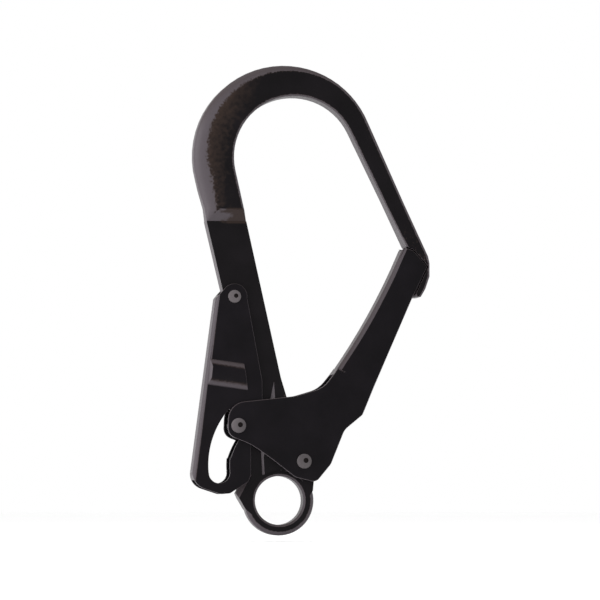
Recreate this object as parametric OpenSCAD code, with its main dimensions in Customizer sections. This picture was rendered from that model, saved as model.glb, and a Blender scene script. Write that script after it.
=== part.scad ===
// Large-opening double-action snap hook: forged hook body, folded sheet gate,
// folded sheet lock lever, three rivets with their bushes, and two springs.
// X runs to the nose side, Z up towards the bow, Y through the thickness.
// The origin is the centre of the eye, on the hook's middle plane.

/* [Eye] */
// Bore of the lanyard eye
eye_bore_d = 25; // [20:0.5:27]
// Outside diameter of the eye ring
eye_ring_d = 36; // [34:0.5:40]
// Rounding of the ring's outer edges
eye_outer_round = 2.4; // [1:0.2:4]
// Rounding of the bore's edges, where webbing bears
eye_bore_round = 1.4; // [1:0.2:2]

/* [Shank and bow] */
// Thickness of the milled shank
shank_t = 11; // [9:0.5:13]
// Height of the bow's centre above the eye's centre
bow_z = 176.3; // [160:0.5:200]
// Sideways place of the bowl's centre
bow_x = 8.2; // [4:0.2:12]
// Inside radius of the bowl
bowl_r = 32; // [28:0.5:36]
// Radius of the bow's outer edge
back_r = 47.3; // [45:0.1:50]
// How far the outer edge's centre lies to the left of the bowl's
back_shift = 5.4; // [3:0.2:7]
// Thickness of the bow at its left side
bow_t = 18; // [16:0.5:20]
// Thickness of the nose arm at its middle
arm_t = 12; // [11:0.5:14]
// Rounding of the bow's outer edge at its left side
bow_round = 6.5; // [4:0.5:7]
// How far that rounding reaches across the bow's face
bow_round_wide = 12; // [8:0.5:13]
// Lean of the shank's inner edge, in degrees
shank_lean = 12.6; // [11:0.1:14]
// Lean of the nose arm's inner edge, in degrees
arm_lean_in = 26.1; // [25:0.1:27]
// Lean of the nose arm's outer edge, in degrees
arm_lean_out = 24.2; // [23:0.1:25]
// Height over which the bow's full thickness runs out to the shank
runout_h = 5.6; // [4:0.2:8]

/* [Nose] */
// Distance from the bowl's centre down to the notch above the gate's tip
notch_drop = 46.3; // [40:0.5:52]
// Length of the nose below the notch
nose_len = 25; // [22:0.5:27]
// Thickness of the nose lip outside the gate
lip_t = 17; // [15:0.5:18]

/* [Pivots] */
// Gate pivot, to the right of the eye's centre
gate_x = 12.3; // [11:0.1:14]
// Gate pivot, above the eye's centre
gate_z = 20.1; // [19:0.1:22]
// Distance from the gate pivot to the lock pin
pin_reach = 38.5; // [37:0.1:40]
// Direction of the lock pin from the gate pivot, in degrees
pin_angle = 151.8; // [150:0.1:153]
// Lever pivot, to the left of the eye's centre
lever_x = -23.5; // [-25:0.1:-22]
// Lever pivot, above the eye's centre
lever_z = 104.5; // [100:0.5:108]
// Shank diameter of the three rivets
rivet_d = 5; // [4:0.1:5.4]
// Head diameter of the gate rivet and the lock pin rivet
head_d = 7.6; // [7:0.1:8.4]
// Head height of the rivets
head_h = 1.3; // [1:0.1:1.6]
// Outside diameter of the two pivot bushes
bush_d = 8; // [7.5:0.1:9]
// Outside diameter of the lock pin's roller
roller_d = 8; // [7:0.1:8.4]
// Radial running clearance of pins, bushes and bores
run_gap = 0.08; // [0.04:0.01:0.1]

/* [Gate] */
// Sheet thickness of the gate
gate_sheet = 1.8; // [1.5:0.1:2.2]
// Swing of the gate from shut to fully open, in degrees
gate_swing = 34; // [28:1:35]
// Outside radius of the bend between the gate's web and cheeks
gate_bend = 3; // [2.2:0.1:4]
// Curve radius of the gate's web, seen from the front
web_curve = 340; // [300:10:400]

/* [Lever] */
// Sheet thickness of the lock lever
lever_sheet = 1.5; // [1.2:0.1:1.8]
// Squeeze angle that lines the slot up with the lock pin's path, in degrees
lever_squeeze = 3.5; // [3:0.1:4]
// Outside radius of the lever's bend
lever_bend = 2.6; // [1.8:0.1:3.2]
// Width of the curved slot in the lever
slot_w = 11; // [9.5:0.1:12]
// Height of the raised rib across each lever flange
rib_h = 1.8; // [0.8:0.1:2]

/* [Springs] */
// Wire diameter of the gate's torsion spring
gate_wire = 1.2; // [1:0.1:1.4]
// Wire diameter of the lever's compression spring
lever_wire = 1; // [0.8:0.1:1.2]
// Outside diameter of the lever's compression spring
lever_coil_d = 7; // [6:0.1:7.4]
// Height of the lever spring's axis above the eye's centre
lever_spring_z = 84; // [80:0.5:88]
// Depth of the spring's blind hole in the shank
spring_hole_depth = 11; // [8:0.5:12]

/* [Fits] */
// Side gap between neighbouring sheets and the body
side_gap = 0.3; // [0.2:0.05:0.4]
// Gap between the gate's web and the nose it shuts against
shut_gap = 0.4; // [0.3:0.05:0.6]

/* [Hidden] */
$fn = 96;

eps = 0.01;
far = 400;

// The layers through the thickness, as half widths from the middle plane
shank_half = shank_t / 2;
lever_in = shank_half + side_gap;
lever_out = lever_in + lever_sheet;
gate_in = lever_out + side_gap;
gate_out = gate_in + gate_sheet;
tip_in = shank_half + side_gap;
tip_out = tip_in + gate_sheet;
pad_half = gate_in - side_gap;

// Pivot places
G = [gate_x, gate_z];
P = G + pin_reach * [cos(pin_angle), sin(pin_angle)];
L = [lever_x, lever_z];

// Where the slot's centre lies at rest: the gate pivot turned back about the lever pivot
function turn(p, c, a) = [
    c[0] + (p[0] - c[0]) * cos(a) - (p[1] - c[1]) * sin(a),
    c[1] + (p[0] - c[0]) * sin(a) + (p[1] - c[1]) * cos(a)
];
slot_c = turn(G, L, -lever_squeeze);
slot_in = pin_reach - slot_w / 2;
slot_out = pin_reach + slot_w / 2;

// The back corners of the lever, and the tilt of its web from upright
lever_top = [lever_x - 9.6, lever_z - 1];
lever_heel = [lever_x - 22.3, 8.2];
lever_tilt = atan2(lever_top[0] - lever_heel[0], lever_top[1] - lever_heel[1]);

// The bow's two circles and the straight edges that leave them
bowl_c = [bow_x, bow_z];
back_c = [bow_x - back_shift, bow_z + 0.5];
shank_foot = bowl_c - bowl_r * [cos(shank_lean), sin(shank_lean)];
back_foot = back_c - back_r * [cos(shank_lean + 0.8), sin(shank_lean + 0.8)];
arm_in_top = bowl_c + bowl_r * [cos(arm_lean_in), sin(arm_lean_in)];
arm_out_top = back_c + back_r * [cos(arm_lean_out), sin(arm_lean_out)];
function shank_in_x(z) = shank_foot[0] + (shank_foot[1] - z) * tan(shank_lean);
function shank_back_x(z) = back_foot[0] + (back_foot[1] - z) * tan(shank_lean + 0.8);
function arm_in_x(z) = arm_in_top[0] + (arm_in_top[1] - z) * tan(arm_lean_in);
function arm_out_x(z) = arm_out_top[0] + (arm_out_top[1] - z) * tan(arm_lean_out);
notch_z = bow_z - notch_drop;
notch = [arm_in_x(notch_z), notch_z];
runout_z = bow_z - 33;
nose_out_x = arm_out_x(notch_z);
nose_tip_z = notch_z - nose_len;

// A closed outline with its corners rounded: each corner is [x, z, radius]
function unit(v) = v / norm(v);
function corner_arc(a, b, c, r) =
    let (u = unit([a[0] - b[0], a[1] - b[1]]), v = unit([c[0] - b[0], c[1] - b[1]]))
    let (half = acos(max(-1, min(1, u * v))) / 2)
    let (reach = min(r / tan(half), 0.49 * norm([a[0] - b[0], a[1] - b[1]]),
                     0.49 * norm([c[0] - b[0], c[1] - b[1]])))
    let (rr = reach * tan(half), m = unit(u + v), o = [b[0], b[1]] + m * rr / sin(half))
    let (s = [b[0], b[1]] + u * reach - o, t = [b[0], b[1]] + v * reach - o)
    let (a0 = atan2(s[1], s[0]), d0 = atan2(t[1], t[0]) - a0)
    let (d = d0 > 180 ? d0 - 360 : d0 < -180 ? d0 + 360 : d0)
    let (n = max(1, ceil(abs(d) / 9)))
    [for (i = [0:n]) o + rr * [cos(a0 + d * i / n), sin(a0 + d * i / n)]];
function rounded(c) = [
    for (i = [0:len(c) - 1])
        let (p = c[(i + len(c) - 1) % len(c)], q = c[i], s = c[(i + 1) % len(c)])
        each (q[2] > 0 ? corner_arc(p, q, s, q[2]) : [[q[0], q[1]]])
];
function arc(c, r, a0, a1, n) = [
    for (i = [0:n]) c + r * [cos(a0 + (a1 - a0) * i / n), sin(a0 + (a1 - a0) * i / n)]
];

// A front-view outline made into a plate between two depths
module plate(outline, y0, y1)
    translate([0, y1, 0]) rotate([90, 0, 0]) linear_extrude(y1 - y0) polygon(outline);
// The same plate on both sides of the middle plane
module both_sides() {
    children();
    mirror([0, 1, 0]) children();
}
// A round bar through the thickness at a front-view place
module pin_at(p, r, y0, y1)
    translate([p[0], y1, p[1]]) rotate([90, 0, 0]) cylinder(r = r, h = y1 - y0);
// A ring about an axis through the thickness, from a half section [radius, depth]
module ring_at(p, section)
    translate([p[0], 0, p[1]]) rotate([90, 0, 0]) rotate_extrude() polygon(section);

// ---------------------------------------------------------------- hook body

// One rounded section of the forging between its inner point and its outer point
function section_arc(cx, cy, r, a0, a1, n, wide = 1) = [
    for (i = [0:n])
        [cx + wide * r * cos(a0 + (a1 - a0) * i / n), cy + r * sin(a0 + (a1 - a0) * i / n)]
];
// The outer rounding is wider across the section than it is deep
function section_ring(w, h, ro, ri) =
    let (wide = min(1 + ro / bow_round * (bow_round_wide / bow_round - 1), 0.6 * w / ro))
    concat(
        section_arc(w - wide * ro, h - ro, ro, 0, 90, 8, wide), section_arc(ri, h - ri, ri, 90, 180, 3),
        section_arc(ri, ri - h, ri, 180, 270, 3), section_arc(w - wide * ro, ro - h, ro, 270, 360, 8, wide)
    );
// A station is [inner point, outer point, half thickness, outer rounding, inner rounding]
function station_ring(s) =
    let (w = norm(s[1] - s[0]), d = (s[1] - s[0]) / w)
    [for (p = section_ring(w, s[2], min(s[3], 0.45 * w), min(s[4], 0.45 * w))) [s[0][0] + d[0] * p[0], p[1], s[0][1] + d[1] * p[0]]];
function mix(a, b, t) = a + (b - a) * t;
// Around the bow, each station's outer point is on the ray from the bowl's centre
function ray_to_back(a) =
    let (d = [cos(a), sin(a)], o = bowl_c - back_c, b = o * d)
    bowl_c + d * (-b + sqrt(b * b - o * o + back_r * back_r));
bow_steps = 30;
bow_stations = [
    for (i = [0:bow_steps])
        let (t = i / bow_steps, a = mix(180 + shank_lean, arm_lean_in, t))
        [bowl_c + bowl_r * [cos(a), sin(a)], ray_to_back(a),
         mix(bow_t, arm_t, t * t * (3 - 2 * t)) / 2, mix(bow_round, 1.6, min(1, 1.25 * t)),
         mix(2, 1.2, t)]
];
// The shank's top, where the full section runs out to the milled flats
shank_stations = [
    [[shank_in_x(runout_z - 3), runout_z - 3] + [-0.2, 0], [shank_back_x(runout_z - 3), runout_z - 3] + [0.2, 0],
     shank_half - 0.2, 0.3, 0.3],
    [[shank_in_x(runout_z) - 0.12, runout_z], [shank_back_x(runout_z) + 0.12, runout_z],
     shank_half - 0.12, 0.3, 0.3],
    [[shank_in_x(runout_z + runout_h), runout_z + runout_h],
     [shank_back_x(runout_z + runout_h) + 0.4, runout_z + runout_h + 1], bow_t / 2 - 0.2, bow_round * 0.8, 1.6],
    [[shank_in_x(runout_z + 14), runout_z + 14], [shank_back_x(runout_z + 16), runout_z + 16],
     bow_t / 2, bow_round, 2]
];
// The arm down to the notch, thickening towards the nose, and the nose to its tip
arm_stations = [
    for (t = [0.3, 0.6, 0.85, 1])
        let (zi = mix(arm_in_top[1], notch_z, t), zo = mix(ray_to_back(arm_lean_in)[1], notch_z - 4, t))
        [[arm_in_x(zi), zi], [arm_out_x(zo), zo], mix(arm_t, lip_t, max(0, t - 0.6) / 0.4 * 0.8) / 2, 1.6, 1.2]
];
nose_stations = [
    for (k = [[0.24, 0.1, 2.4], [0.54, 0.7, 2.4], [0.82, 2.4, 0.2], [1, 4.3, -2.2]])
        let (z = notch_z - k[0] * nose_len)
        [[notch[0] + k[1], z], [nose_out_x + k[2], z - (1 - k[0]) * 2], lip_t / 2, 1.2, 1.2]
];
stations = concat(shank_stations, bow_stations, arm_stations, nose_stations);

module forged_bow() {
    rings = [for (s = stations) station_ring(s)];
    n = len(rings[0]);
    m = len(rings);
    points = [for (r = rings) each r];
    sides = [
        for (i = [0:m - 2]) for (j = [0:n - 1])
            let (a = i * n + j, b = i * n + (j + 1) % n)
            each [[a, b + n, a + n], [a, b, b + n]]
    ];
    caps = [for (j = [1:n - 2]) each [[0, j + 1, j], [(m - 1) * n, (m - 1) * n + j, (m - 1) * n + j + 1]]];
    polyhedron(points, concat(sides, caps), 4);
}

// Shank and foot, with the back cut round the lock pin's path down to the horn
foot_clear = pin_reach - roller_d / 2 - 0.6;
horn = [-22.3, 3.6];
lobe_r = 10;
foot_outline = concat(
    [[shank_back_x(runout_z), runout_z], [shank_back_x(P[1] + 26), P[1] + 26]],
    arc(G, foot_clear, pin_angle - 16, pin_angle + 40, 14),
    [horn + [2.4, 4.6], horn, [-17.4, -4.6], [-12, -9], [14, 0], [17.4, 5], [17.8, 9.5]],
    arc(G, lobe_r, -55, 31, 8),
    [[shank_in_x(56) + 1.6, 52.6], [shank_in_x(56) + 0.6, 56], [shank_in_x(63), 63]],
    [[shank_in_x(runout_z), runout_z]]
);

// The raised pads under the gate's cheeks; their left edge clears the squeezed lever
pad_run = 2.4;
pad_top = 61;
pad_gap = 0.8;
pad_a = [shank_in_x(pad_top) - 4, pad_top];
pad_b = turn([lever_x + 8.5, 28], L, lever_squeeze) + [pad_gap, 0];
pad_c = turn([lever_x + 8.5, 12], L, lever_squeeze) + [pad_gap, 0];
pad_outline = concat(
    [pad_a - [1, 0], pad_b - [1, 0], pad_c - [1, 0]], arc([0, 0], eye_bore_d / 2 + 3, 118, 40, 8),
    arc(G, lobe_r, -55, 31, 8),
    [[shank_in_x(56) + 1.4, 52.6], [shank_in_x(pad_top), pad_top]]
);
// What lies to the right of a slope that rises from the shank's face along the line from p to q
module right_of(p, q, run)
    translate([p[0], 0, p[1]]) rotate([0, atan2(q[0] - p[0], q[1] - p[1]), 0])
        translate([0, 0, -far / 2]) linear_extrude(far)
            polygon([[-0.4, 0], [-0.4, -shank_half + 0.3], [run, -pad_half], [far, -pad_half], [far, 0]]);
module pad() {
    intersection() {
        plate(pad_outline, -pad_half, 0);
        // The face falls to the shank's level over its top stretch
        translate([-far / 2, 0, 0]) rotate([90, 0, 90]) linear_extrude(far)
            polygon([[0, -far], [-pad_half, -far], [-pad_half, pad_top - 10], [-shank_half + eps, pad_top],
                     [0, pad_top]]);
        right_of(pad_b, pad_a, pad_run);
        right_of(pad_c, pad_b, 0.7);
    }
}

// The horn beside the eye is bevelled so that the lever's flanges close over it
module horn_bevel()
    translate([horn[0] + 2.3, -shank_half, horn[1] - 0.9]) rotate([0, 28.5, 0]) rotate([0, 0, 42])
        translate([-20, -20, -12]) cube([20, 40, 24]);

// Recess in the nose's faces for the gate's cheeks, and the lip left outside it
lip_line = [[nose_out_x + 1.9, notch_z - 9.2], [nose_out_x - 1.9, notch_z - 17.5], [nose_out_x - 5.8, notch_z - 25.6]];
recess_outline = concat(
    [notch + [-12, 4], notch + [0.2, 0.9], notch + [3.2, -0.3]], lip_line,
    [lip_line[2] + [-4, -8], notch + [-24, -14]]
);
// Blind hole square to the shank's back edge for the lever spring
spring_tilt = lever_tilt;
spring_foot = [shank_back_x(lever_spring_z), lever_spring_z];
lever_spring_out = (spring_foot - lever_heel) * [cos(lever_tilt), -sin(lever_tilt)] - lever_sheet;
module along_spring(from)
    translate([spring_foot[0], 0, spring_foot[1]]) rotate([0, 90 + spring_tilt, 0])
        translate([0, 0, from]) children();

spring_pocket_r = bush_d / 2 + 3.4;
spring_pocket_depth = 5;
gate_foot_angle = 96;
gate_hook_angle = 52;
gate_leg = 19;
module hook_body() color([0.13, 0.12, 0.14]) difference() {
    union() {
        difference() {
            union() {
                forged_bow();
                plate(foot_outline, -shank_half, shank_half);
            }
            both_sides() horn_bevel();
            both_sides() plate(recess_outline, -far / 4, -shank_half);
        }
        both_sides() pad();
        ring_at([0, 0], eye_section);
    }
    pin_at([0, 0], eye_bore_d / 2, -far / 4, far / 4);
    both_sides() ring_at([0, 0], bore_flare);
    pin_at(G, bush_d / 2 + run_gap, -far / 4, far / 4);
    pin_at(L, bush_d / 2 + run_gap, -far / 4, far / 4);
    // Pocket for the gate's torsion spring in the rear face, the swing space of one leg, the other's groove
    pin_at(G, spring_pocket_r, pad_half - spring_pocket_depth, far / 4);
    plate(concat([G], arc(G, gate_leg + 2, gate_hook_angle - 38, gate_hook_angle + gate_swing + 8, 8)),
          coil_y1 - gate_wire / 2 - 0.3, far / 4);
    translate([gate_x, 0, gate_z]) rotate([0, -gate_foot_angle, 0])
        translate([0, pad_half - spring_pocket_depth, bush_d / 2 + 0.2]) cube([gate_leg - 4, 10, gate_wire + 1]);
    along_spring(-2) cylinder(d = lever_coil_d + 0.4, h = spring_hole_depth + 2);
}
eye_section = concat(
    [[eye_bore_d / 2 - 1, -shank_half], [eye_ring_d / 2 - eye_outer_round, -shank_half]],
    section_arc(eye_ring_d / 2 - eye_outer_round, eye_outer_round - shank_half, eye_outer_round, 270, 360, 6),
    section_arc(eye_ring_d / 2 - eye_outer_round, shank_half - eye_outer_round, eye_outer_round, 0, 90, 6),
    [[eye_bore_d / 2 - 1, shank_half]]
);
// Cutter that rounds the bore's edge: what lies inside a quarter circle
bore_flare = concat(
    [[eye_bore_d / 2 - 3, -shank_half - 4], [eye_bore_d / 2 - 3, eye_bore_round - shank_half],
     [eye_bore_d / 2, eye_bore_round - shank_half]],
    section_arc(eye_bore_d / 2 + eye_bore_round, eye_bore_round - shank_half, eye_bore_round, 189, 270, 6),
    [[eye_bore_d / 2 + eye_bore_round, -shank_half - 4]]
);

// --------------------------------------------------------------------- gate

// The web's outer line is an arc that bows away from the throat
web_foot = [gate_x + 15.63, gate_z + 44.76];
web_head = notch + [-3.4, -2.6];
web_mid = (web_foot + web_head) / 2;
web_dir = unit(web_head - web_foot);
web_across = [web_dir[1], -web_dir[0]];
web_half = norm(web_head - web_foot) / 2;
web_c = web_mid - web_across * sqrt(web_curve * web_curve - web_half * web_half);
web_a0 = atan2(web_foot[1] - web_c[1], web_foot[0] - web_c[0]);
web_a1 = atan2(web_head[1] - web_c[1], web_head[0] - web_c[0]);
function web_point(t, inset) =
    let (a = web_a0 + (web_a1 - web_a0) * t) web_c + (web_curve + inset) * [cos(a), sin(a)];
arm_lean = atan2(web_dir[0], web_dir[1]);
// How far the web runs on past the end of the cheeks' straight edge
web_reach = 1.03;

gate_outline = rounded(concat(
    [[P[0] - 5.6, P[1] - 4.9, 5.5], [P[0] - 5.0, P[1] + 11.4, 12], [gate_x - 4, gate_z + 33.4, 30],
     [gate_x + 10, gate_z + 37.6, 24], [web_foot[0], web_foot[1], 0]],
    [for (i = [1:8]) let (w = web_point(i / 8, 0)) [w[0], w[1], 0]],
    [[notch[0] - 1.6, notch[1] + 0.4, 1.2], [notch[0] + 3, notch[1] - 0.9, 1],
     [lip_line[0][0] - 0.7, lip_line[0][1], 1], [lip_line[1][0] - 0.8, lip_line[1][1], 10],
     [lip_line[2][0] - 0.9, lip_line[2][1], 12], [gate_x + 30.3, gate_z + 23.8, 2.5],
     [gate_x + 21, gate_z + 16.1, 8], [gate_x + 13.9, gate_z - 1.5, 6], [gate_x + 6.2, gate_z - 10.8, 4],
     [gate_x - 4.6, gate_z - 8.2, 6], [gate_x - 16, gate_z + 0.6, 30], [gate_x - 27, gate_z + 8.4, 30]]
));
// The cheeks step inwards above the foot so that the arm is as slim as the nose
joggle_x = gate_x + 18.1;
joggle_z = gate_z + 34;
joggle_len = 13;
module cheek_stack(inner, outer)
    translate([joggle_x, 0, joggle_z]) rotate([0, arm_lean, 0]) translate([-far / 2, 0, 0])
        rotate([90, 0, 90]) linear_extrude(far)
            polygon([[-outer[0], -far / 2], [-outer[0], 0], [-outer[1], joggle_len], [-outer[1], far / 2],
                     [-inner[1], far / 2], [-inner[1], joggle_len], [-inner[0], 0], [-inner[0], -far / 2]]);
// The bend's cutter stands this far off the web, which is a little faceted
web_ease = 0.08;
// The bend is rounded from here up, above the cheeks' step
round_from = 3.6;
module web_round(h, r)
    translate([web_c[0], 0, web_c[1]]) rotate([90, 0, 0]) rotate_extrude($fn = 720)
        polygon(concat([[web_curve + 60, -h], [web_curve + 60, h]],
                       section_arc(web_curve + r - web_ease, h - r, r, 90, 180, 5),
                       section_arc(web_curve + r - web_ease, r - h, r, 180, 270, 5)));
module gate() color([0.12, 0.11, 0.13]) difference() {
    union() {
        both_sides() intersection() {
            plate(gate_outline, -gate_out - 1, -tip_in + 1);
            cheek_stack([gate_in, tip_in], [gate_out, tip_out]);
        }
        intersection() {
            plate(concat([for (i = [0:9]) web_point(min(i / 8, web_reach), 0)],
                         [for (i = [9:-1:0]) web_point(min(i / 8, web_reach), gate_sheet)]), -far / 4, far / 4);
            cheek_stack([-gate_out, -tip_out], [gate_out, tip_out]);
        }
    }
    // The bend between web and cheeks
    difference() {
        plate([for (p = [[-8, round_from], [-8, 80], [20, 80], [20, 20],
                         [gate_bend + 1, round_from]])
               web_foot + p[0] * web_across + p[1] * web_dir], -far / 4, far / 4);
        web_round(tip_out + 0.05, gate_bend);
    }
    pin_at(G, rivet_d / 2 + run_gap, -far / 4, far / 4);
    pin_at(P, rivet_d / 2 + run_gap, -far / 4, far / 4);
    pin_at(G + gate_leg * [cos(gate_hook_angle), sin(gate_hook_angle)], gate_wire / 2 + 0.2, 0, far / 4);
}

// -------------------------------------------------------------------- lever

lever_outline = rounded(concat(
    [for (w = arc(L, 6.6, -8, 128, 12)) [w[0], w[1], 0]],
    [[lever_top[0], lever_top[1], 1.5], [lever_heel[0], lever_heel[1], 8.5],
     [lever_x - 7, 3.2, 4], [lever_x - 2.2, 3.6, 2], [lever_x + 7.2, 9.7, 2], [lever_x + 8.5, 13, 2],
     [lever_x + 8.5, 28, 8], [lever_x + 14.4, 49, 8], [lever_x + 14.4, 61, 8]]
));
// The slot: an arc about the gate pivot's place when the lever is squeezed, and the way in from the seat
slot_end = pin_angle - lever_squeeze + gate_swing + 3.4;
slot_outline = concat(
    arc(slot_c, slot_out, pin_angle - lever_squeeze - 9, slot_end, 20),
    arc(slot_c, slot_in, slot_end, pin_angle - lever_squeeze - 9, 20)
);
seat_r = roller_d / 2 + 0.4;
// The lock pin's place in the lever's own frame when the gate has swung by g
function pin_in_lever(g) = turn(turn(P, G, g), L, -lever_squeeze * g / 35);
function path_side(g, side) =
    let (p = pin_in_lever(g), d = unit(pin_in_lever(g + 0.5) - pin_in_lever(g - 0.5)))
    p + side * seat_r * [-d[1], d[0]];
seat_a = let (d = pin_in_lever(0.5) - pin_in_lever(-0.5)) atan2(d[1], d[0]);
way_outline = concat(
    arc(P, seat_r, seat_a + 90, seat_a + 270, 14),
    [for (g = [2:2:24]) path_side(g, -1)], [for (g = [24:-2:2]) path_side(g, 1)]
);
handle_flare = 0.9;
module lever_web_frame() translate([lever_heel[0], 0, lever_heel[1]]) rotate([0, lever_tilt, 0]) children();
// Side profile of the channel: parallel flanges that flare out round the handle
module lever_stack(inset, flare)
    lever_web_frame() translate([-far / 2, 0, 0]) rotate([90, 0, 90]) linear_extrude(far)
        polygon([[-lever_out + inset - flare, -far / 2], [-lever_out + inset - flare, 22], [-lever_out + inset, 34],
                 [-lever_out + inset, far / 2], [lever_out - inset, far / 2], [lever_out - inset, 34],
                 [lever_out - inset + flare, 22], [lever_out - inset + flare, -far / 2]]);
module lever_round(h, r)
    lever_web_frame() translate([0, 0, -60]) linear_extrude(220)
        polygon(concat([[60, -h], [60, h]], section_arc(r, h - r, r, 90, 180, 5),
                       section_arc(r, r - h, r, 180, 270, 5)));
// Raised rib across each flange, from the bend to just short of the shank's back
rib_low = 59.4;
rib_high = 72.3;
module rib() hull() {
    plate([[lever_x - 13.6, rib_low], [lever_x + 6.8, rib_low - 2.8], [lever_x + 4.9, rib_high - 2.4],
           [lever_x - 12.4, rib_high]], -lever_out - eps, -lever_out + 0.3);
    plate([[lever_x - 12.0, rib_low + 3.4], [lever_x + 6.2, rib_low + 1.0], [lever_x + 5.4, rib_high - 5.7],
           [lever_x - 11.4, rib_high - 3.7]], -lever_out - rib_h, -lever_out);
}
module lock_lever() color([0.11, 0.1, 0.12]) difference() {
    union() {
        difference() {
            intersection() {
                plate(lever_outline, -far / 4, far / 4);
                lever_stack(0, 0);
                lever_round(lever_out, lever_bend);
            }
            intersection() {
                lever_stack(lever_sheet, 0);
                lever_web_frame() translate([lever_sheet, -30, -40]) cube([80, 60, 180]);
            }
        }
        both_sides() rib();
    }
    plate(slot_outline, -far / 4, far / 4);
    pin_at(slot_c + pin_reach * [cos(slot_end), sin(slot_end)], slot_w / 2 - 0.02, -far / 4, far / 4);
    plate(way_outline, -far / 4, far / 4);
    pin_at(L, rivet_d / 2 + run_gap, -far / 4, far / 4);
}

// ------------------------------------------------------- rivets and bushes

// Domed head with an off-centre dimple left by the setting tool
module rivet_head(p, r, y)
    difference() {
        translate([p[0], y, p[1]]) rotate([90, 0, 0]) rotate_extrude()
            polygon(concat([[0, 0], [r, 0], [r, head_h * 0.45]],
                           [for (i = [1:6]) [r * cos(15 * i), head_h * (0.45 + 0.55 * sin(15 * i))]]));
        pin_at(p + [0.2, 0.1] * r, r * 0.34, y - head_h - 1, y - head_h + 4);
    }
module rivet(p, half, r) {
    pin_at(p, rivet_d / 2, -half - eps, half + eps);
    rivet_head(p, r, -half);
    mirror([0, 1, 0]) rivet_head(p, r, -half);
}
module gate_pivot_rivet() color([0.35, 0.34, 0.36]) rivet(G, gate_out, head_d / 2);
module lock_pin_rivet() color([0.35, 0.34, 0.36]) rivet(P, gate_out, head_d / 2);
module lever_pivot_rivet() color([0.35, 0.34, 0.36]) rivet(L, lever_out, head_d / 2 - 0.5);

module bush(p, r, half) difference() {
    pin_at(p, r, -half, half);
    pin_at(p, rivet_d / 2 + run_gap, -half - 1, half + 1);
}
module gate_pivot_bush() color("silver") bush(G, bush_d / 2, gate_in);
module lever_pivot_bush() color("silver") bush(L, bush_d / 2, lever_in);
module lock_pin_roller() color("silver") bush(P, roller_d / 2, gate_in - 0.1);

// ------------------------------------------------------------------ springs

// A round wire swept along a list of points
wire_sides = 8;
function wire_ring(p, d, r) =
    let (u = unit(cross(d, abs(d[1]) > 0.9 ? [0, 0, 1] : [0, 1, 0])), v = cross(d, u))
    [for (k = [0:wire_sides - 1]) p + r * (u * cos(360 * k / wire_sides) + v * sin(360 * k / wire_sides))];
module wire(path, r) {
    m = len(path);
    points = [
        for (i = [0:m - 1]) each wire_ring(path[i], unit(path[min(i + 1, m - 1)] - path[max(i - 1, 0)]), r)
    ];
    sides = [
        for (i = [0:m - 2]) for (j = [0:wire_sides - 1])
            [i * wire_sides + j, i * wire_sides + (j + 1) % wire_sides,
             (i + 1) * wire_sides + (j + 1) % wire_sides, (i + 1) * wire_sides + j]
    ];
    polyhedron(points, concat(sides, [[for (j = [wire_sides - 1:-1:0]) j]],
                              [[for (j = [0:wire_sides - 1]) (m - 1) * wire_sides + j]]), 4);
}
// Torsion spring round the gate's bush: one leg in the body's groove, the other hooked in the rear cheek
coil_r = bush_d / 2 + 0.3 + gate_wire / 2;
coil_y0 = pad_half - spring_pocket_depth + gate_wire / 2 + 0.15;
coil_y1 = pad_half - gate_wire / 2 - 0.1;
function round_g(a, r, y) = [gate_x + r * cos(a), y, gate_z + r * sin(a)];
coil_a0 = gate_foot_angle + 90;
coil_a1 = gate_hook_angle - acos(coil_r / gate_leg) + 1080;
hook_at = G + gate_leg * [cos(gate_hook_angle), sin(gate_hook_angle)];
module gate_spring() color("gray") wire(concat(
    [round_g(gate_foot_angle + 23, 12.4, coil_y0)],
    [for (i = [0:56]) let (t = i / 56) round_g(mix(coil_a0, coil_a1, t), coil_r, mix(coil_y0, coil_y1, t))],
    [[hook_at[0], coil_y1, hook_at[1]], [hook_at[0], gate_out - 0.2, hook_at[1]]]
), gate_wire / 2);

// Compression spring between the blind hole's floor and the lever's web
spring_coils = 8;
module lever_spring() color("gray") along_spring(0) wire([
    for (i = [0:16 * spring_coils])
        let (t = i / (16 * spring_coils), r = (lever_coil_d - lever_wire) / 2)
        [r * cos(360 * spring_coils * t), r * sin(360 * spring_coils * t),
         mix(spring_hole_depth - lever_wire / 2 - 0.1, -lever_spring_out + lever_wire / 2 + 0.1, t)]
], lever_wire / 2);

hook_body();
gate();
lock_lever();
gate_pivot_rivet();
lever_pivot_rivet();
lock_pin_rivet();
lock_pin_roller();
gate_pivot_bush();
lever_pivot_bush();
gate_spring();
lever_spring();
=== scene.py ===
"""Scaffold snap hook: the looks of the forged hook, its sheet gate and lever, rivets and springs.

Every size is in metres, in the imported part's own frame: X towards the nose, Z up, front facing -Y.
"""

import math

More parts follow.
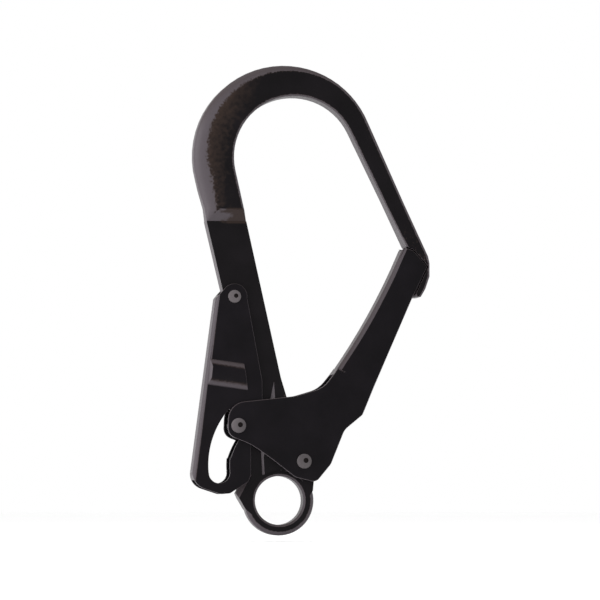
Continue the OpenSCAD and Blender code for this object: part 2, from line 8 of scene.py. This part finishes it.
import bmesh
import bpy
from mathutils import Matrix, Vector


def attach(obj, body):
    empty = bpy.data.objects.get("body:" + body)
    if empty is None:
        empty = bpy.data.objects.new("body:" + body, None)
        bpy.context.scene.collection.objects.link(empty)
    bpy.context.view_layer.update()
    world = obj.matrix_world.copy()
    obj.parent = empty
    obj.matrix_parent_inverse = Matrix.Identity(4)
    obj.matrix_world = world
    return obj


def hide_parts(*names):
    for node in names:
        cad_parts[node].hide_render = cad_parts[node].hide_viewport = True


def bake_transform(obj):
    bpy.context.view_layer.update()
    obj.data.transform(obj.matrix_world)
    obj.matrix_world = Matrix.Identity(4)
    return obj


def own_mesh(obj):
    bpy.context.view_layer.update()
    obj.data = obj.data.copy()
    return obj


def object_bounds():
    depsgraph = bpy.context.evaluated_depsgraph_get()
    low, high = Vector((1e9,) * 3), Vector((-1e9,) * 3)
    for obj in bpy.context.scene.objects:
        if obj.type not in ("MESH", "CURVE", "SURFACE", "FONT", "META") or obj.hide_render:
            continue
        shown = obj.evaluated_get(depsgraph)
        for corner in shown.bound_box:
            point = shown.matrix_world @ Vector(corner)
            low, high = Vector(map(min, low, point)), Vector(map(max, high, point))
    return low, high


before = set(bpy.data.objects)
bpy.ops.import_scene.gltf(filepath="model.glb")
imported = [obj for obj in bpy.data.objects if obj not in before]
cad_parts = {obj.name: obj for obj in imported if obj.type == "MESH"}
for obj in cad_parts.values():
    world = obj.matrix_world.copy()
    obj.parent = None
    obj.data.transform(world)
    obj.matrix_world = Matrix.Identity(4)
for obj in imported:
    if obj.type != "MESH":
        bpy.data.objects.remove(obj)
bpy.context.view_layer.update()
MM = 0.001


# ------------------------------------------------------------------ finishes

# the grey of the painted highlight on faces that tilt out of the hook's plane, and the brown of the painted
# reflection beside it, on upward slopes and on the bow and horn
PAINTED_HIGHLIGHT_GREY = (0.07, 0.06, 0.067)
PAINTED_BROWN_REFLECTION = (0.026, 0.017, 0.014)
# the middle of the bow's bend, and how far out from it the painted brown reflection starts and is thickest
BOW_X, BOW_Z = 4.6 * MM, 176.3 * MM
REFLECTION_STARTS, REFLECTION_FULL = 31.5 * MM, 43 * MM
# the bevel at the bow's horn, below the middle of the bend
HORN_DROP = 30.3 * MM


class Mixer:
    """Adds nodes to one material's tree and links each to what it works on."""

    def __init__(self, material):
        material.use_nodes = True
        self.nodes = material.node_tree.nodes
        self.link = material.node_tree.links.new
        self.shader = self.nodes["Principled BSDF"]
        self.place = self.nodes.new("ShaderNodeTexCoord").outputs["Object"]

    def split(self, vector):
        """The X, Y and Z of a vector."""
        node = self.nodes.new("ShaderNodeSeparateXYZ")
        self.link(vector, node.inputs["Vector"])
        return node.outputs["X"], node.outputs["Y"], node.outputs["Z"]

    def noise(self, scale, detail):
        node = self.nodes.new("ShaderNodeTexNoise")
        node.inputs["Scale"].default_value = scale
        node.inputs["Detail"].default_value = detail
        self.link(self.place, node.inputs["Vector"])
        return node.outputs["Fac"]

    def ranged(self, source, low, high, to_low=0.0, to_high=1.0):
        """The source's stretch from low to high, spread over to_low to to_high and held there outside it."""
        node = self.nodes.new("ShaderNodeMapRange")
        node.inputs["From Min"].default_value = low
        node.inputs["From Max"].default_value = high
        node.inputs["To Min"].default_value = to_low
        node.inputs["To Max"].default_value = to_high
        self.link(source, node.inputs["Value"])
        return node.outputs["Result"]

    def scattered(self, value, scale, detail, spread):
        """A value made ragged by noise of up to the spread either way."""
        return self.maths("ADD", value, self.ranged(self.noise(scale, detail), 0.3, 0.7, -spread, spread))

    def maths(self, operation, first, second=0.0):
        node = self.nodes.new("ShaderNodeMath")
        node.operation = operation
        for socket, value in zip(node.inputs, (first, second)):
            if isinstance(value, float):
                socket.default_value = value
            else:
                self.link(value, socket)
        return node.outputs["Value"]

    def blended(self, factor, first, second):
        """The first colour where the factor is 0 and the second where it is 1."""
        node = self.nodes.new("ShaderNodeMix")
        node.data_type = "RGBA"
        self.link(factor, node.inputs["Factor"])
        for socket, colour in (("A", first), ("B", second)):
            if isinstance(colour, tuple):
                node.inputs[socket].default_value = (*colour, 1)
            else:
                self.link(colour, node.inputs[socket])
        return node.outputs["Result"]

    def mottled(self, colour):
        """A colour that drifts a quarter darker and lighter in soft patches."""
        node = self.nodes.new("ShaderNodeValToRGB")
        darker, lighter = node.color_ramp.elements
        darker.position, lighter.position = 0.35, 0.7
        darker.color = (*[part * 0.75 for part in colour], 1)
        lighter.color = (*[part * 1.25 for part in colour], 1)
        self.link(self.noise(60, 4), node.inputs["Fac"])
        return node.outputs["Color"]


def painted_edge_highlights(mixer, surface, starts, scatter):
    """Painted grey highlight, edged with painted brown reflection, where the surface tilts away from the plane
    of the hook.
    """
    _, through, upwards = mixer.split(mixer.nodes.new("ShaderNodeNewGeometry").outputs["Normal"])
    tilt = mixer.maths("ARCCOSINE", mixer.maths("ABSOLUTE", through))
    ragged = mixer.scattered(tilt, 900, 8, scatter)
    highlight_colour = mixer.blended(mixer.ranged(ragged, starts + 0.04, starts + 0.16), PAINTED_BROWN_REFLECTION, PAINTED_HIGHLIGHT_GREY)
    # slopes that face upwards get more of the painted brown reflection
    highlight_colour = mixer.blended(mixer.ranged(upwards, 0.15, 0.45, 0.0, 0.45), highlight_colour, PAINTED_BROWN_REFLECTION)
    return mixer.blended(mixer.ranged(ragged, starts, starts + 0.12), surface, highlight_colour)


def bow_painted_reflection(mixer, surface):
    """Painted brown reflection that spreads inwards from the back of the bow, down to its horn."""
    place_x, _, place_z = mixer.split(mixer.place)
    across = mixer.maths("SUBTRACT", place_x, BOW_X)
    up = mixer.maths("MAXIMUM", mixer.maths("SUBTRACT", place_z, BOW_Z), 0.0)
    squares = [mixer.maths("MULTIPLY", side, side) for side in (across, up)]
    reach = mixer.scattered(mixer.maths("SQRT", mixer.maths("ADD", *squares)), 450, 8, 4 * MM)
    rear = mixer.scattered(across, 200, 4, 4 * MM)
    thick = mixer.ranged(reach, REFLECTION_STARTS, REFLECTION_FULL)
    reflection_amount = mixer.maths("MULTIPLY", thick, mixer.ranged(rear, -15 * MM, -30 * MM))
    above_horn = mixer.ranged(place_z, BOW_Z - 29 * MM, BOW_Z - 25 * MM)
    return mixer.blended(mixer.maths("MULTIPLY", reflection_amount, above_horn), surface, PAINTED_BROWN_REFLECTION)


def horn_painted_reflection(mixer, surface):
    """Painted brown reflection on the throat side of the bevel at the bow's horn, and not on the nose's arm
    beyond the bowl.
    """
    place_x, _, place_z = mixer.split(mixer.place)
    across = mixer.maths("SUBTRACT", place_x, BOW_X)
    throat_side = mixer.ranged(mixer.scattered(across, 200, 4, 4 * MM), -34 * MM, -31 * MM, 0.0, 0.85)
    off_level = mixer.maths("ABSOLUTE", mixer.maths("SUBTRACT", place_z, BOW_Z - HORN_DROP))
    reflection_amount = mixer.maths("MULTIPLY", throat_side, mixer.ranged(off_level, 4.2 * MM, 3.4 * MM))
    reflection_amount = mixer.maths("MULTIPLY", reflection_amount, mixer.ranged(across, -10 * MM, -14 * MM))
    return mixer.blended(reflection_amount, surface, PAINTED_BROWN_REFLECTION)


def steel(
    name, colour, roughness, grain, grain_depth, specular, metal=0.0, highlight_starts=None, scatter=0.0, painted_reflections=False
):
    """A coated or bare steel, mottled and finely grained. The painted highlight starts at a tilt, in radians."""
    material = bpy.data.materials.new(name)
    mixer = Mixer(material)
    inputs = mixer.shader.inputs
    inputs["Metallic"].default_value = metal
    inputs["Specular IOR Level"].default_value = specular
    surface = mixer.mottled(colour)
    # painted brown reflection on the bow and horn, and painted highlights on faces that tilt out of the hook's
    # plane
    if painted_reflections:
        surface = bow_painted_reflection(mixer, surface)
    if highlight_starts:
        surface = painted_edge_highlights(mixer, surface, highlight_starts, scatter)
    if painted_reflections:
        surface = horn_painted_reflection(mixer, surface)
    mixer.link(surface, inputs["Base Color"])

    fine = mixer.noise(grain, 3)
    mixer.link(mixer.ranged(fine, 0.3, 0.7, roughness - 0.05, roughness + 0.07), inputs["Roughness"])
    bump = mixer.nodes.new("ShaderNodeBump")
    bump.inputs["Strength"].default_value = grain_depth
    bump.inputs["Distance"].default_value = 0.03 * MM
    mixer.link(fine, bump.inputs["Height"])
    mixer.link(bump.outputs["Normal"], inputs["Normal"])
    return material


forged_coat = steel(
    "forged dark coat",
    (0.0046, 0.0036, 0.0045),
    0.36,
    1900,
    0.3,
    0.08,
    highlight_starts=0.12,
    scatter=0.09,
    painted_reflections=True,
)
sheet_coat = steel(
    "sheet dark coat", (0.0050, 0.0040, 0.0053), 0.34, 2600, 0.15, 0.07, highlight_starts=0.2, scatter=0.03
)
rivet_steel = steel("darkened rivet steel", (0.074, 0.064, 0.068), 0.4, 2400, 0.15, 0.3)
# a darker material that paints shade into each rivet's hollow
hollow_shade_paint = steel("painted hollow shade", (0.012, 0.008, 0.008), 0.5, 2400, 0.15, 0.1)
bush_steel = steel("turned steel", (0.42, 0.41, 0.42), 0.3, 2400, 0.1, 0.5, metal=1.0)
spring_steel = steel("spring wire", (0.35, 0.34, 0.35), 0.28, 2400, 0.1, 0.5, metal=1.0)


# -------------------------------------------------------------------- pieces

WELD = 0.002 * MM  # vertices nearer than this are one


def crease_between_flats(mesh, flat_area, bend):
    """Marks the bends between two broad flat faces, so that neither is shaded as if it curved."""
    shell = bmesh.new()
    shell.from_mesh(mesh)
    for edge in shell.edges:
        if len(edge.link_faces) != 2:
            continue
        broad = min(face.calc_area() for face in edge.link_faces) > flat_area
        edge.smooth = not (broad and edge.calc_face_angle(0) > math.radians(bend))
    shell.to_mesh(mesh)
    shell.free()


def merged_copy(node, name, material, flatten=False):
    """A CAD node's own shape as one smooth-shaded shell in its own object."""
    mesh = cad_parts[node].data.copy()
    mesh.name = name
    shell = bmesh.new()
    shell.from_mesh(mesh)
    bmesh.ops.remove_doubles(shell, verts=shell.verts, dist=WELD)
    if flatten:
        bmesh.ops.dissolve_degenerate(shell, edges=shell.edges, dist=WELD)
        bmesh.ops.dissolve_limit(
            shell, angle_limit=math.radians(0.8), verts=shell.verts, edges=shell.edges, delimit={"NORMAL"}
        )
    shell.to_mesh(mesh)
    shell.free()
    mesh.materials.clear()
    mesh.materials.append(material)
    for face in mesh.polygons:
        face.use_smooth = True
    piece = bpy.data.objects.new(name, mesh)
    bpy.context.collection.objects.link(piece)
    return piece


def finished(node, name, material, body, edge, flat_area, bend, clamped):
    """A CAD node's own shape with its sharp edges rounded over and its flats kept flat."""
    piece = merged_copy(node, name, material, flatten=True)
    crease_between_flats(piece.data, flat_area, bend)
    rounding = piece.modifiers.new("edge rounding", "BEVEL")
    rounding.width = edge
    rounding.segments = 3
    rounding.limit_method = "ANGLE"
    rounding.angle_limit = math.radians(28)
    rounding.use_clamp_overlap = clamped
    rounding.harden_normals = False
    rounding.miter_outer = "MITER_ARC"
    weighted = piece.modifiers.new("flat faces stay flat", "WEIGHTED_NORMAL")
    weighted.keep_sharp = True
    weighted.weight = 80
    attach(piece, body)
    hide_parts(node)
    return piece


# the least area of a broad flat, in square metres, the sharpest bend shaded as a curve, in degrees, and
# whether the rounding is held back where edges crowd
FORGED = (90e-6, 2.5, True)
SHEET = (25e-6, 9, False)
DRESSED = {
    "hook_body": ("forged_hook", forged_coat, "hook", 0.45 * MM, *FORGED),
    "gate": ("sheet_gate", sheet_coat, "gate", 0.38 * MM, *SHEET),
    "lock_lever": ("sheet_lock_lever", sheet_coat, "lever", 0.2 * MM, *SHEET),
    "gate_pivot_rivet": ("gate_rivet", rivet_steel, "gate", 0.12 * MM, *FORGED),
    "lever_pivot_rivet": ("lever_rivet", rivet_steel, "lever", 0.12 * MM, *FORGED),
    "lock_pin_rivet": ("lock_rivet", rivet_steel, "gate", 0.12 * MM, *FORGED),
    "lock_pin_roller": ("lock_roller", bush_steel, "gate", 0.15 * MM, *FORGED),
    "gate_pivot_bush": ("gate_bush", bush_steel, "gate", 0.15 * MM, *FORGED),
    "lever_pivot_bush": ("lever_bush", bush_steel, "lever", 0.15 * MM, *FORGED),
}
for node, dressing in DRESSED.items():
    finished(node, *dressing)


# as shares of a rivet head's radius: where the painted shade in its hollow sits and how far it reaches
HOLLOW_ACROSS, HOLLOW_UP, HOLLOW_REACH = 0.2, 0.1, 0.35


def paint_hollow_shade(name):
    """The off-centre hollow in each end of a rivet gets a darker material as painted shade."""
    mesh = bpy.data.objects[name].data
    mesh.materials.append(hollow_shade_paint)
    across = [vertex.co.x for vertex in mesh.vertices]
    up = [vertex.co.z for vertex in mesh.vertices]
    head = (max(across) - min(across)) / 2
    hollow_x = (max(across) + min(across)) / 2 + HOLLOW_ACROSS * head
    hollow_z = (max(up) + min(up)) / 2 + HOLLOW_UP * head
    for face in mesh.polygons:
        corners = [mesh.vertices[corner].co for corner in face.vertices]
        if all(math.hypot(at.x - hollow_x, at.z - hollow_z) < HOLLOW_REACH * head for at in corners):
            face.material_index = 1


for rivet in ("gate_rivet", "lever_rivet", "lock_rivet"):
    paint_hollow_shade(rivet)


def coil(node, name):
    """A spring's own wire as one merged, smooth shell."""
    piece = merged_copy(node, name, spring_steel)
    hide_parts(node)
    return piece


gate_spring = coil("gate_spring", "gate_torsion_spring")
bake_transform(gate_spring)

lever_spring = coil("lever_spring", "lever_return_spring")
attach(lever_spring, "hook")
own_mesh(lever_spring)


# --------------------------------------------------- floor, lights and camera

FLOOR_GAP = 3 * MM
floor_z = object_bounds()[0][2] - FLOOR_GAP


def matte(name, colour):
    material = bpy.data.materials.new(name)
    material.use_nodes = True
    shader = material.node_tree.nodes["Principled BSDF"]
    shader.inputs["Base Color"].default_value = (*colour, 1)
    shader.inputs["Roughness"].default_value = 0.9
    return material


floor_mesh = bpy.data.meshes.new("studio_floor")
sweep = bmesh.new()
bmesh.ops.create_grid(sweep, x_segments=1, y_segments=1, size=6)
bmesh.ops.translate(sweep, verts=sweep.verts, vec=(0, 0, floor_z))
sweep.to_mesh(floor_mesh)
sweep.free()
floor_mesh.materials.append(matte("pale floor", (0.98, 0.98, 0.98)))
floor = bpy.data.objects.new("studio_floor", floor_mesh)
bpy.context.collection.objects.link(floor)

world = bpy.data.worlds.new("studio")
bpy.context.scene.world = world
world.use_nodes = True
backdrop = world.node_tree.nodes["Background"]
backdrop.inputs["Color"].default_value = (1, 1, 1, 1)
backdrop.inputs["Strength"].default_value = 1.0

# what the camera and the lights face
middle = Vector((0.0115, 0, 0.1033))


def softbox(name, direction, distance, size, power):
    """A rectangular studio light that faces the object's middle."""
    light = bpy.data.lights.new(name, "AREA")
    light.shape = "RECTANGLE"
    light.size, light.size_y = size
    light.energy = power
    lamp = bpy.data.objects.new(name, light)
    away = Vector(direction).normalized()
    lamp.location = middle + away * distance
    lamp.rotation_euler = away.to_track_quat("Z", "Y").to_euler()
    bpy.context.collection.objects.link(lamp)


softbox("left softbox", (-1, -0.15, 0.1), 0.9, (0.7, 0.9), 9)
softbox("top softbox", (-0.2, -0.3, 1), 0.9, (0.8, 0.6), 2)
softbox("right fill", (1, -0.5, 0.2), 1.2, (0.6, 0.9), 0.5)

azimuth = math.radians(-8.5)
elevation = math.radians(-3)
distance = 2.0
frame_width = 0.3096
camera_data = bpy.data.cameras.new("camera")
camera_data.sensor_width = 36
camera_data.lens = 36 * distance / frame_width
camera = bpy.data.objects.new("camera", camera_data)
toward = Vector(
    (
        math.sin(azimuth) * math.cos(elevation),
        -math.cos(azimuth) * math.cos(elevation),
        math.sin(elevation),
    )
)
camera.location = middle + toward * distance
camera.rotation_euler = toward.to_track_quat("Z", "Y").to_euler()
bpy.context.collection.objects.link(camera)
bpy.context.scene.camera = camera
bpy.context.scene.view_settings.view_transform = "Standard"
